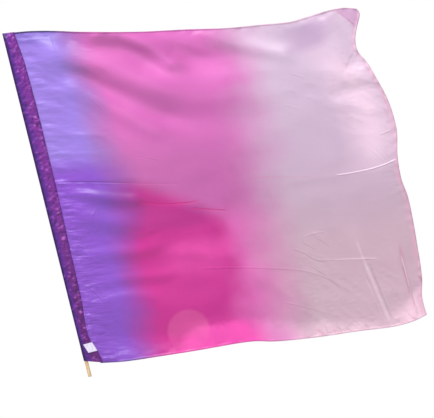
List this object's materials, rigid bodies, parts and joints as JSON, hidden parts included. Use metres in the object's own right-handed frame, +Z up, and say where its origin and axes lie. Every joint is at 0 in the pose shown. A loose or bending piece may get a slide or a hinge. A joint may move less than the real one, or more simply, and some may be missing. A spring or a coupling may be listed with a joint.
{
  "type": "worship flag on a rod",
  "caption": "Dyed silk worship flag with rolled hems, sewn to a crinkled satin pole sleeve on a wooden rod, held out in soft folds.",
  "frame": {"origin": "on the rod's axis at the grip, inside the pole sleeve just above its mouth", "axes": "+X across the flag towards its free edge, +Z up, -Y towards the viewer. The rod leans 14 degrees from +Z towards -X."},
  "size_m": [0.954, 0.0622, 0.8305],
  "materials": {
    "silk": "smooth lustrous habotai silk, dyed from violet at the sleeve over hot pink to pale pink",
    "satin": "crinkled plum satin with a sheen, blue-violet along the rod",
    "label": "plain white woven ribbon",
    "wood": "smooth sanded birch dowel"
  },
  "bodies": {
    "root": {"silk_panel": "silk", "pole_sleeve": "satin", "care_label": "label", "rod": "wood"}
  },
  "joints": []
}
